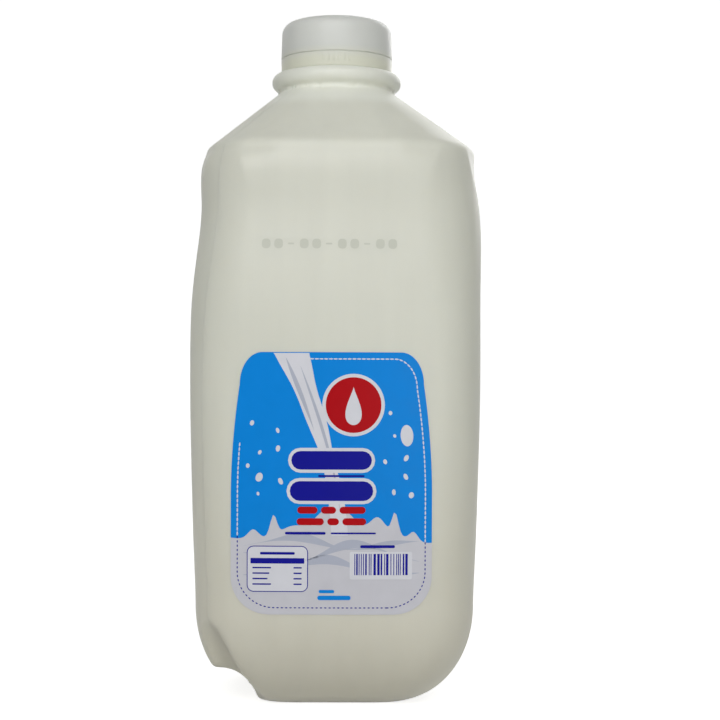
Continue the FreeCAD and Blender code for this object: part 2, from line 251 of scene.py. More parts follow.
class CapSettings(bpy.types.PropertyGroup):
    segments: IntProperty(name="Segments", description="Segments round the cap", default=160)
    bridges: IntProperty(name="Bridges", description="Bridges across the tear slit", default=12)
    ribs: IntProperty(name="Ribs", description="Ribs at the tear band's tab", default=6)
    colour: colour_property("Cap plastic", "Injection-moulded polyethylene", "#D5D7D2")
    band_colour: colour_property("Band plastic", "The same over the neck", "#DCDDCC")


class LabelSettings(bpy.types.PropertyGroup):
    film: length_property("Film", "Thickness of the sticker's film", 0.11)
    layer: length_property("Ink step", "Step between one printed layer and the next", 0.015)
    drops: IntProperty(name="Drops", description="White drops printed on the blue", default=16)
    paper: colour_property("Film white", "Unprinted film", "#CECED5")
    blue: colour_property("Blue", "Field of the sticker", "#0088E2")
    white: colour_property("Print white", "White ink", "#DCDDE4")
    shade: colour_property("Print grey", "Shade in the white waves", "#B4B9C8")
    red: colour_property("Red", "Round mark and bars", "#B4000F")
    navy: colour_property("Navy", "Bars and fine lines", "#0C0E92")


class StageSettings(bpy.types.PropertyGroup):
    distance: length_property("Camera distance", "From the jug's axis to the lens", 622.0)
    height: length_property("Camera height", "Lens above the floor", 115.8)
    lens: FloatProperty(name="Lens", description="Focal length in millimetres", default=82.5)
    key: FloatProperty(name="Key light", description="Power of the main light in watts", default=6.7)
    fill: FloatProperty(name="Fill light", description="Power of the fill in watts", default=1.0)
    back: FloatProperty(name="Back light", description="Power of the back light", default=4.0)
    sky: FloatProperty(name="Sky", description="Strength of the even light", default=0.26)


# ---- materials ----------------------------------------------------------------------------


def blown_polyethylene():
    """Natural HDPE, blow-moulded, with milk behind it: satin, milky and slightly yellow, with painted shade
    that darkens it towards the base, paler at the empty neck where light shining through is painted in,
    with the faint upright streaks of the parison and a fine orange peel."""
    settings = bpy.context.scene.jug_settings
    material, tree = new_material("natural_hdpe_blow_moulded")
    place = add_node(tree, "ShaderNodeTexCoord").outputs["Object"]
    height = add_node(tree, "ShaderNodeSeparateXYZ", Vector=place).outputs["Z"]
    # painted shade: the colour darkens from the middle of the jug down to its base
    lower = add_node(
        tree, "ShaderNodeMapRange", {"interpolation_type": "SMOOTHSTEP"}, Value=height,
        From_Min=JUG_LOW.z, From_Max=0.55 * JUG_HIGH.z,
    ).outputs[0]
    # painted light: above the milk the colour turns paler, standing in for light that shines through the
    # empty neck
    empty = add_node(
        tree, "ShaderNodeMapRange", {"interpolation_type": "SMOOTHSTEP"}, Value=height,
        From_Min=MILK_HIGH.z - 1.5 * MM, From_Max=MILK_HIGH.z + 3 * MM,
    ).outputs[0]
    body = add_node(tree, "ShaderNodeMix", {"data_type": "RGBA"}, i0=lower).outputs[2]
    body.node.inputs[6].default_value = settings.plastic_shaded_base
    body.node.inputs[7].default_value = settings.plastic
    whole = add_node(tree, "ShaderNodeMix", {"data_type": "RGBA"}, i0=empty, i6=body)
    whole.inputs[7].default_value = settings.plastic_neck_lit_through
    stretched = add_node(tree, "ShaderNodeMapping", Vector=place)
    stretched.inputs["Scale"].default_value = (1.0, 1.0, 0.06)
    streaks = add_node(
        tree, "ShaderNodeTexNoise", Vector=stretched.outputs[0], Scale=130.0, Detail=2.0
    ).outputs[0]
    clouds = add_node(tree, "ShaderNodeTexNoise", Vector=place, Scale=24.0, Detail=3.0).outputs[0]
    uneven = add_node(tree, "ShaderNodeMath", {"operation": "ADD"}, i0=streaks, i1=clouds)
    level = add_node(
        tree, "ShaderNodeMapRange", Value=uneven.outputs[0], From_Min=0.6, From_Max=1.4,
        To_Min=0.965, To_Max=1.02,
    ).outputs[0]
    tinted = add_node(
        tree, "ShaderNodeMix", {"data_type": "RGBA", "blend_type": "MULTIPLY"}, i0=1.0,
        i6=whole.outputs[2],
    )
    grey = add_node(tree, "ShaderNodeCombineColor", Red=level, Green=level, Blue=level)
    tree.links.new(grey.outputs[0], tinted.inputs[7])
    rough = add_node(
        tree, "ShaderNodeMapRange", Value=clouds, From_Min=0.3, From_Max=0.7, To_Min=0.40,
        To_Max=0.50,
    ).outputs[0]
    peel = add_node(tree, "ShaderNodeTexNoise", Vector=place, Scale=420.0, Detail=2.0).outputs[0]
    relief = add_node(tree, "ShaderNodeMath", {"operation": "MULTIPLY_ADD"}, i0=streaks, i1=1.6, i2=peel)
    bump = add_node(
        tree, "ShaderNodeBump", Height=relief.outputs[0], Strength=0.22, Distance=0.06 * MM
    )
    shader = add_node(
        tree, "ShaderNodeBsdfPrincipled", {"subsurface_method": "BURLEY"},
        Base_Color=tinted.outputs[2], Roughness=rough, IOR=1.54, Normal=bump.outputs[0],
        Subsurface_Weight=0.3, Subsurface_Scale=0.004,
    )
    shader.inputs["Subsurface Radius"].default_value = (1.0, 0.85, 0.6)
    close_material(tree, shader)
    return material


def moulded_polyethylene():
    """HDPE, injection moulded and coloured greyish white: satin, with a hint of flow marks, and
    creamier at the tear band, where it lies close over the neck."""
    settings = bpy.context.scene.cap_settings
    material, tree = new_material("white_hdpe_injection_moulded")
    place = add_node(tree, "ShaderNodeTexCoord").outputs["Object"]
    clouds = add_node(tree, "ShaderNodeTexNoise", Vector=place, Scale=90.0, Detail=3.0).outputs[0]
    level = add_node(
        tree, "ShaderNodeMapRange", Value=clouds, From_Min=0.3, From_Max=0.7, To_Min=0.975,
        To_Max=1.0,
    ).outputs[0]
    grey = add_node(tree, "ShaderNodeCombineColor", Red=level, Green=level, Blue=level)
    height = add_node(tree, "ShaderNodeSeparateXYZ", Vector=place).outputs["Z"]
    above = add_node(
        tree, "ShaderNodeMapRange", Value=height, From_Min=CAP_LOW.z + 3 * MM,
        From_Max=CAP_LOW.z + 8 * MM,
    ).outputs[0]
    colour = add_node(tree, "ShaderNodeMix", {"data_type": "RGBA"}, i0=above)
    colour.inputs[6].default_value = settings.band_colour
    colour.inputs[7].default_value = settings.colour
    tinted = add_node(
        tree, "ShaderNodeMix", {"data_type": "RGBA", "blend_type": "MULTIPLY"}, i0=1.0,
        i6=colour.outputs[2],
    )
    tree.links.new(grey.outputs[0], tinted.inputs[7])
    rough = add_node(
        tree, "ShaderNodeMapRange", Value=clouds, From_Min=0.3, From_Max=0.7, To_Min=0.36,
        To_Max=0.44,
    ).outputs[0]
    grain = add_node(tree, "ShaderNodeTexNoise", Vector=place, Scale=900.0, Detail=2.0).outputs[0]
    bump = add_node(tree, "ShaderNodeBump", Height=grain, Strength=0.15, Distance=0.03 * MM)
    shader = add_node(
        tree, "ShaderNodeBsdfPrincipled", {"subsurface_method": "BURLEY"},
        Base_Color=tinted.outputs[2], Roughness=rough, IOR=1.54, Normal=bump.outputs[0],
        Subsurface_Weight=0.25, Subsurface_Scale=0.002,
    )
    shader.inputs["Subsurface Radius"].default_value = (1.0, 0.9, 0.75)
    close_material(tree, shader)
    return material


def whole_milk():
    """Whole milk: an opaque, slightly cream liquid with a smooth surface."""
    material, tree = new_material("whole_milk")
    place = add_node(tree, "ShaderNodeTexCoord").outputs["Object"]
    cream = add_node(tree, "ShaderNodeTexNoise", Vector=place, Scale=60.0, Detail=2.0).outputs[0]
    blend = add_node(tree, "ShaderNodeMix", {"data_type": "RGBA"}, i0=cream)
    blend.inputs[6].default_value = bpy.context.scene.jug_settings.milk
    blend.inputs[7].default_value = linear("#EFEBD9")
    shader = add_node(
        tree, "ShaderNodeBsdfPrincipled", Base_Color=blend.outputs[2], Roughness=0.25, IOR=1.35
    )
    close_material(tree, shader)
    return material


def printed_film(name, colour, roughness=0.34):
    """Polypropylene sticker film with printer's ink: smooth, with a faint uneven gloss and the
    tiny ripples of a film laid on by machine."""
    material, tree = new_material(name)
    place = add_node(tree, "ShaderNodeTexCoord").outputs["Object"]
    clouds = add_node(tree, "ShaderNodeTexNoise", Vector=place, Scale=160.0, Detail=3.0).outputs[0]
    level = add_node(
        tree, "ShaderNodeMapRange", Value=clouds, From_Min=0.3, From_Max=0.7, To_Min=0.96,
        To_Max=1.0,
    ).outputs[0]
    grey = add_node(tree, "ShaderNodeCombineColor", Red=level, Green=level, Blue=level)
    tinted = add_node(
        tree, "ShaderNodeMix", {"data_type": "RGBA", "blend_type": "MULTIPLY"}, i0=1.0
    )
    tinted.inputs[6].default_value = colour
    tree.links.new(grey.outputs[0], tinted.inputs[7])
    rough = add_node(
        tree, "ShaderNodeMapRange", Value=clouds, From_Min=0.3, From_Max=0.7,
        To_Min=roughness - 0.04, To_Max=roughness + 0.04,
    ).outputs[0]
    ripples = add_node(tree, "ShaderNodeTexNoise", Vector=place, Scale=70.0, Detail=1.0).outputs[0]
    bump = add_node(tree, "ShaderNodeBump", Height=ripples, Strength=0.2, Distance=0.08 * MM)
    shader = add_node(
        tree, "ShaderNodeBsdfPrincipled", Base_Color=tinted.outputs[2], Roughness=rough, IOR=1.5,
        Specular_IOR_Level=0.12, Normal=bump.outputs[0],
    )
    close_material(tree, shader)
    return material


# ---- jug body -----------------------------------------------------------------------------


def outer_skin():
    """The jug's outside alone, closed over its mouth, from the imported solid."""
    form = bmesh.new()
    form.from_mesh(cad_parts["jug"].data)
    bmesh.ops.remove_doubles(form, verts=form.verts, dist=1e-6)
    form.normal_update()
    milk = surface_of(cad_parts["milk"])
    touching = 0.05 * MM
    inner = []
    for face in form.faces:
        middle = face.calc_center_median()
        if middle.z > MILK_HIGH.z - 0.5 * MM:
            away = Vector((middle.x, middle.y, 0)).normalized()
            hidden = face.normal.dot(away) < -0.05 and middle.z < JUG_HIGH.z - 0.1 * MM
        else:
            hidden = milk.find_nearest(middle)[3] < touching
        if hidden:
            inner.append(face)
    bmesh.ops.delete(form, geom=inner, context="FACES")
    edges = [edge for edge in form.edges if edge.is_boundary]
    bmesh.ops.holes_fill(form, edges=edges, sides=0)
    bmesh.ops.triangulate(form, faces=form.faces)
    bmesh.ops.recalc_face_normals(form, faces=form.faces)
    mesh = bpy.data.meshes.new("jug_outside")
    form.to_mesh(mesh)
    form.free()
    return mesh


def settle_on(mesh, target, reach):
    """Move each vertex that is near the target's surface onto it."""
    for vertex in mesh.vertices:
        place, _normal, _index, distance = target.find_nearest(vertex.co)
        if place is not None and distance < reach:
            vertex.co = place


def relax(mesh, passes, top):
    """Soften the mesh a little, below a height."""
    form = bmesh.new()
    form.from_mesh(mesh)
    low = [vertex for vertex in form.verts if vertex.co.z < top]
    for _ in range(passes):
        bmesh.ops.smooth_vert(
            form, verts=low, factor=0.5, use_axis_x=True, use_axis_y=True, use_axis_z=True
        )
    form.to_mesh(mesh)
    form.free()


class JUG_OT_body(bpy.types.Operator):
    """Blown body with its handle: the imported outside, its cut edges softened as blown ones are"""

    bl_idname = "jug.body"
    bl_label = "Body"

    def execute(self, context):
        settings = context.scene.jug_settings
        raw = outer_skin()
        target = BVHTree.FromPolygons(
            [v.co.copy() for v in raw.vertices], [tuple(p.vertices) for p in raw.polygons]
        )
        piece = new_object("jug_body", raw)
        remesh = piece.modifiers.new("Even mesh", "REMESH")
        remesh.mode = "VOXEL"
        remesh.voxel_size = settings.voxel * 1
        baked(piece)
        if len(piece.data.vertices) < 1000:
            raise RuntimeError("the body's mesh came out empty")
        settle_on(piece.data, target, 2 * settings.voxel)
        relax(piece.data, settings.soft_passes, MILK_HIGH.z)
        settle_on(piece.data, target, 0.12 * MM)
        relax(piece.data, 1, MILK_HIGH.z)
        shade_smooth(piece.data)
        finish_piece(piece, blown_polyethylene(), "jug_plastic", "jug")
        return {"FINISHED"}


class JUG_OT_seam(bpy.types.Operator):
    """Parting line of the mould, a fine ridge up both corners that lie in its plane"""

    bl_idname = "jug.seam"
    bl_label = "Mould seam"

    def execute(self, context):
        settings = context.scene.jug_settings
        surface = surface_of(bpy.data.objects["jug_body"])
        lowest, below_cap = 5 * MM, 6.5 * MM
        row_step, widest_jump = 1.5 * MM, 6 * MM
        vertices, faces = [], []
        for side in (-1, 1):
            out = Vector((side, side, 0)).normalized()
            aside = Vector((-out.y, out.x, 0))
            rows = []
            height, top = lowest, CAP_LOW.z - below_cap
            while height < top:
                row = self.rib(surface, out, aside, height, settings)
                if row:
                    rows.append(row)
                height += row_step
            for low, high in zip(rows, rows[1:]):
                if (low[2] - high[2]).length > widest_jump:
                    continue
                first = len(vertices)
                vertices += low + high
                count = len(low)
                for step in range(count):
                    after = (step + 1) % count
                    faces.append(
                        (first + step, first + after, first + count + after, first + count + step)
                    )
        mesh = mesh_from("mould_seam", vertices, faces)
        form = bmesh.new()
        form.from_mesh(mesh)
        bmesh.ops.remove_doubles(form, verts=form.verts, dist=1e-6)
        bmesh.ops.holes_fill(form, edges=[e for e in form.edges if e.is_boundary], sides=0)
        bmesh.ops.recalc_face_normals(form, faces=form.faces)
        form.to_mesh(mesh)
        form.free()
        shade_smooth(mesh)
        piece = new_object("mould_seam", mesh)
        finish_piece(piece, bpy.data.materials["natural_hdpe_blow_moulded"], "jug_plastic")
        return {"FINISHED"}

    @staticmethod
    def rib(surface, out, aside, height, settings):
        """Five points across the ridge at one height, or none where the surface is missing."""
        outside, core = 120 * MM, 15 * MM
        start = out * outside + Vector((0, 0, height))
        place, normal, _index, _distance = surface.ray_cast(start, -out)
        if place is None or place.dot(out) < core:
            return None
        half = settings.seam_width / 2
        sunk = -0.1 * MM
        points = []
        for share in (-1.0, -0.45, 0.0, 0.45, 1.0):
            proud = settings.seam_proud * (1 - share * share) + sunk * abs(share)
            points.append(place + aside * (half * share) + normal * proud)
        points.append(place + normal * (4 * sunk))
        return points


class JUG_OT_milk(bpy.types.Operator):
    """Milk inside the jug, which keeps its solid and gets its own material"""

    bl_idname = "jug.milk"
    bl_label = "Milk"

    def execute(self, context):
        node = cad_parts["milk"]
        node.data.materials.clear()
        node.data.materials.append(whole_milk())
        return {"FINISHED"}


# ---- cap ----------------------------------------------------------------------------------


def ring_of_blocks_tree(material):
    """Geometry Nodes: a row of small blocks round part of a circle, each facing outwards."""
    tree = bpy.data.node_groups.new("ring_of_blocks", "GeometryNodeTree")
    face = tree.interface
    face.new_socket("Geometry", in_out="OUTPUT", socket_type="NodeSocketGeometry")
    for name, kind in (
        ("Count", "NodeSocketInt"),
        ("Radius", "NodeSocketFloat"),
        ("First angle", "NodeSocketFloat"),
        ("Step angle", "NodeSocketFloat"),
        ("Height", "NodeSocketFloat"),
        ("Block", "NodeSocketVector"),
    ):
        face.new_socket(name, in_out="INPUT", socket_type=kind)
    source = add_node(tree, "NodeGroupInput").outputs
    number = add_node(tree, "GeometryNodeInputIndex").outputs[0]
    angle = add_node(
        tree, "ShaderNodeMath", {"operation": "MULTIPLY_ADD"}, i0=number,
        i1=source["Step angle"], i2=source["First angle"],
    ).outputs[0]
    cosine = add_node(tree, "ShaderNodeMath", {"operation": "COSINE"}, i0=angle).outputs[0]
    sine = add_node(tree, "ShaderNodeMath", {"operation": "SINE"}, i0=angle).outputs[0]
    across = add_node(tree, "ShaderNodeMath", {"operation": "MULTIPLY"}, i0=cosine, i1=source["Radius"])
    deep = add_node(tree, "ShaderNodeMath", {"operation": "MULTIPLY"}, i0=sine, i1=source["Radius"])
    place = add_node(
        tree, "ShaderNodeCombineXYZ", X=across.outputs[0], Y=deep.outputs[0], Z=source["Height"]
    )
    points = add_node(
        tree, "GeometryNodePoints", Count=source["Count"], Position=place.outputs[0]
    )
    turn = add_node(tree, "ShaderNodeCombineXYZ", Z=angle)
    block = add_node(tree, "GeometryNodeMeshCube", Size=source["Block"])
    placed = add_node(
        tree, "GeometryNodeInstanceOnPoints", Points=points.outputs[0],
        Instance=block.outputs[0], Rotation=turn.outputs[0],
    )
    real = add_node(tree, "GeometryNodeRealizeInstances", Geometry=placed.outputs[0])
    painted = add_node(tree, "GeometryNodeSetMaterial", Geometry=real.outputs[0])
    painted.inputs["Material"].default_value = material
    tree.links.new(painted.outputs[0], add_node(tree, "NodeGroupOutput").inputs[0])
    return tree


def ring_of_blocks(name, tree, values):
    """A mesh made by that tree, with its edges rounded a little."""
    piece = new_object(name, bpy.data.meshes.new(name))
    maker = piece.modifiers.new("Blocks", "NODES")
    maker.node_group = tree
    for item in tree.interface.items_tree:
        if item.in_out == "INPUT":
            maker[item.identifier] = values[item.name]
    rounding = piece.modifiers.new("Rounding", "BEVEL")
    rounding.width = 0.12 * MM
    rounding.segments = 2
    return baked(piece)


class JUG_OT_cap(bpy.types.Operator):
    """Snap-screw cap, and its tear band with the bridges and the ribs at the tab"""

    bl_idname = "jug.cap"
    bl_label = "Cap and tear band"

    def execute(self, context):
        settings = context.scene.cap_settings
        material = moulded_polyethylene()
        outer, top, bottom = CAP_HIGH.x, CAP_HIGH.z, CAP_LOW.z
        skirt, slit, web_depth, web_hold = 13.75 * MM, 0.32 * MM, 0.3 * MM, 0.4 * MM
        rim = top - skirt
        band_top = rim - slit
        wall, crown, lip = 1.4 * MM, 4.5 * MM, 0.35 * MM
        inner = outer - wall
        gate = 0.45 * MM
        cap = [(0, top - gate), (2.2 * MM, top - gate), (2.6 * MM, top - 0.2 * MM)]
        cap += [(outer - crown - 2.6 * MM, top - 0.1 * MM), (outer - crown - 1.2 * MM, top)]
        cap += arc((outer - crown - 0.25 * MM, top - crown), crown, 90, 6, 14)
        cap += arc((outer - lip, rim + lip), lip, 0, -90, 4)
        cap += [(inner, rim), (inner, top - wall), (0, top - wall)]
        shell = new_object("cap_shell", lathe("cap_shell", cap, settings.segments, closed=False))
        back, face = inner + 0.1 * MM, outer - web_depth
        web = [(back, rim + web_hold), (back, band_top - web_hold)]
        web += [(face, band_top - web_hold), (face, rim + web_hold)]
        thin = new_object("slit_web", lathe("slit_web", web, settings.segments))
        band = arc((outer - lip, band_top - lip), lip, 90, 0, 4)
        band += [(outer - 0.12 * MM, bottom + 2.2 * MM)]
        band += arc((outer - lip, bottom + lip), lip, 0, -90, 4)
        band += [(inner, bottom), (inner, band_top)]
        ring = new_object("tear_band", lathe("tear_band", band, settings.segments))
        tree = ring_of_blocks_tree(material)
        full = 2 * math.pi
        bridges = ring_of_blocks(
            "cap_bridges",
            tree,
            {
                "Count": settings.bridges,
                "Radius": (outer + inner) / 2,
                "First angle": full / settings.bridges / 2,
                "Step angle": full / settings.bridges,
                "Height": (rim + band_top) / 2,
                "Block": (0.9 * MM, 2.2 * MM, 1.2 * MM),
            },
        )
        ribs = ring_of_blocks(
            "band_ribs",
            tree,
            {
                "Count": settings.ribs,
                "Radius": outer - 0.23 * MM,
                "First angle": math.radians(-104),
                "Step angle": math.radians(5.4),
                "Height": (band_top + bottom) / 2 + 0.7 * MM,
                "Block": (0.45 * MM, 1.0 * MM, 3.0 * MM),
            },
        )
        for piece in (shell, thin, ring, bridges, ribs):
            finish_piece(piece, material, "cap_plastic")
        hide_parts("cap")
        return {"FINISHED"}


# ---- sticker --------------------------------------------------------------------------------


# places on the sticker: millimetres across from its middle, and up from its lower edge
MARK = (7.5, 72.5)
NAME_BAR, SECOND_BAR = (0.0, 53.4), (0.0, 42.8)
PANEL = (-18.6, 15.8)


def label_half(up):
    """Half the sticker's width at a height above its lower edge, in millimetres."""
    half = (LABEL_HIGH.x - LABEL_LOW.x) / 2 / MM
    tall = (LABEL_HIGH.z - LABEL_LOW.z) / MM
    corner, lean_start, lean_end = 13.0, 41.0, 79.8
    lean, top_half = 3.0, 24.0
    if up < corner:
        return half - corner + math.sqrt(max(corner**2 - (corner - up) ** 2, 0))
    if up < lean_start:
        return half
    if up < lean_end:
        return half - lean * ((up - lean_start) / (lean_end - lean_start)) ** 1.9
    share = min((up - lean_end) / (tall - lean_end), 1)
    return top_half + (half - lean - top_half) * math.sqrt(1 - share**2)


def label_heights(low, high, step=0.7):
    """Heights from low to high, closer together where the outline turns."""
    count = max(int((high - low) / step), 2)
    return [low + (high - low) * (1 - math.cos(math.pi * k / count)) / 2 for k in range(count + 1)]


def label_shape(inset=0.0, floor=None):
    """Outline of the sticker drawn in by inset. floor gives a lower edge across the sticker."""
    tall = (LABEL_HIGH.z - LABEL_LOW.z) / MM
    low, high = inset, tall - inset
    share = (tall - 2 * inset) / tall

    def edge(up):
        return label_half((up - inset) / share) - inset

    if floor is None:
        heights = label_heights(low, high)
        right = [(edge(up), up) for up in heights]
        return right + [(-across, up) for across, up in reversed(right)]
    left_up = floor(-edge(low + 30))
    right_up = floor(edge(low + 30))
    right = [(edge(up), up) for up in label_heights(right_up, high)]
    left = [(-edge(up), up) for up in reversed(label_heights(left_up, high))]
    steps = 90
    start, end = left[-1][0], right[0][0]
    lower = [
        (start + (end - start) * k / steps, floor(start + (end - start) * k / steps))
        for k in range(1, steps)
    ]
    return right + left + lower


def rounded_bar(across, up, width, height, radius):
    """A rectangle with round corners about its middle."""
    points = []
    radius = min(radius, width / 2, height / 2)
    for turn, (right, over) in enumerate(((1, 1), (-1, 1), (-1, -1), (1, -1))):
        middle = (across + right * (width / 2 - radius), up + over * (height / 2 - radius))
        for step in range(5):
            angle = math.pi / 2 * (turn + step / 4)
            points.append(
                (middle[0] + radius * math.cos(angle), middle[1] + radius * math.sin(angle))
            )
    return points


def oval(across, up, width, height, tilt=0.0, steps=28):
    """An ellipse turned by tilt degrees."""
    points = []
    lean = math.radians(tilt)
    for step in range(steps):
        angle = 2 * math.pi * step / steps
        x, y = width / 2 * math.cos(angle), height / 2 * math.sin(angle)
        points.append(
            (across + x * math.cos(lean) - y * math.sin(lean),
             up + x * math.sin(lean) + y * math.cos(lean))
        )
    return points


def drop(across, up, size):
    """A drop with its point upwards."""
    points = []
    for step in range(40):
        angle = 2 * math.pi * step / 40
        reach = math.sin(angle / 2) ** 1.6
        points.append((across + size * 0.62 * reach * math.sin(angle), up + size * math.cos(angle)))
    return points


def band_between(left, right, lower, upper, steps=80):
    """The area between two curves over a width."""
    places = [left + (right - left) * k / steps for k in range(steps + 1)]
    return [(x, lower(x)) for x in places] + [(x, upper(x)) for x in reversed(places)]


class FrontSurface:
    """Depth of the jug's front on an even grid, eased a little, so that every layer of the
    sticker follows the same faces."""

    cell = 2.5 * MM
    across, first_row, rows = 15, -2, 56

    def __init__(self):
        surface = surface_of(bpy.data.objects["jug_body"])
        self.middle = (LABEL_LOW.x + LABEL_HIGH.x) / 2
        raw = {}
        for column in range(-self.across, self.across + 1):
            for row in range(self.first_row, self.rows):
                start = Vector((column * self.cell + self.middle, -0.2, row * self.cell + LABEL_LOW.z))
                place = surface.ray_cast(start, Vector((0, 1, 0)))[0]
                if place is not None:
                    raw[column, row] = place.y
        self.depth = {}
        for (column, row), value in raw.items():
            around = [raw.get((column + dc, row + dr), value) for dc, dr in
                      ((1, 0), (-1, 0), (0, 1), (0, -1))]
            self.depth[column, row] = 0.6 * value + 0.1 * sum(around)

    def place(self, across, up, lift):
        """A point of the front, from metres across and up the sticker."""
        column, row = math.floor(across / self.cell), math.floor(up / self.cell)
        share_x, share_z = across / self.cell - column, up / self.cell - row
        corners = [self.depth[column + dc, row + dr] for dc in (0, 1) for dr in (0, 1)]
        left = corners[0] + (corners[1] - corners[0]) * share_z
        right = corners[2] + (corners[3] - corners[2]) * share_z
        y = left + (right - left) * share_x - lift
        return Vector((across + self.middle, y, up + LABEL_LOW.z))


def inked(name, shapes, lift, thickness=0.008 * MM):
    """One thin closed sheet per shape, laid on the jug's front with its face lifted by lift."""
    front = FrontSurface()
    form = bmesh.new()
    for shape in shapes:
        form.faces.new([form.verts.new((across * MM, 0, up * MM)) for across, up in shape])
    form.normal_update()
    bmesh.ops.triangulate(form, faces=form.faces)
    for axis in (0, 2):
        direction = Vector((axis == 0, 0, axis == 2))
        first = math.ceil(min(v.co[axis] for v in form.verts) / front.cell)
        last = math.floor(max(v.co[axis] for v in form.verts) / front.cell)
        for line in range(first, last + 1):
            everything = form.verts[:] + form.edges[:] + form.faces[:]
            bmesh.ops.bisect_plane(
                form, geom=everything, plane_co=direction * (line * front.cell), plane_no=direction
            )
    bmesh.ops.triangulate(form, faces=form.faces)
    for vertex in form.verts:
        vertex.co = front.place(vertex.co.x, vertex.co.z, lift)
    form.normal_update()
    bmesh.ops.reverse_faces(form, faces=[face for face in form.faces if face.normal.y > 0])
    mesh = bpy.data.meshes.new(name)
    form.to_mesh(mesh)
    form.free()
    piece = new_object(name, mesh)
    thick = piece.modifiers.new("Thickness", "SOLIDIFY")
    thick.thickness = thickness
    thick.offset = -1
    return baked(piece)


def wave(across):
    """Upper edge of the white waves across the sticker, in millimetres above its lower edge."""
    calm = 27.0 + 1.6 * math.sin(across / 9.0 + 0.6) + 0.7 * math.sin(across / 3.6 + 2.0)
    crests = (
        (-27.0, 3.0, 2.4), (-14.0, 5.0, 6.0), (-20.0, 7.0, 1.6), (1.0, 9.5, 9.0),
        (16.0, 5.0, 3.4), (22.0, 7.5, 1.5), (28.5, 3.0, 2.0),
    )
    for place, rise, spread in crests:
        calm += rise * math.exp(-(((across - place) / spread) ** 2))
    return calm


class JUG_OT_label(bpy.types.Operator):
    """Film of the sticker, laid on the front"""

    bl_idname = "jug.label"
    bl_label = "Sticker"

    def execute(self, context):
        settings = context.scene.label_settings
        piece = inked("label_film", [label_shape()], settings.film, 0.6 * settings.film)
        finish_piece(piece, printed_film("sticker_film_white", settings.paper), "label_film", "front_label")
        return {"FINISHED"}


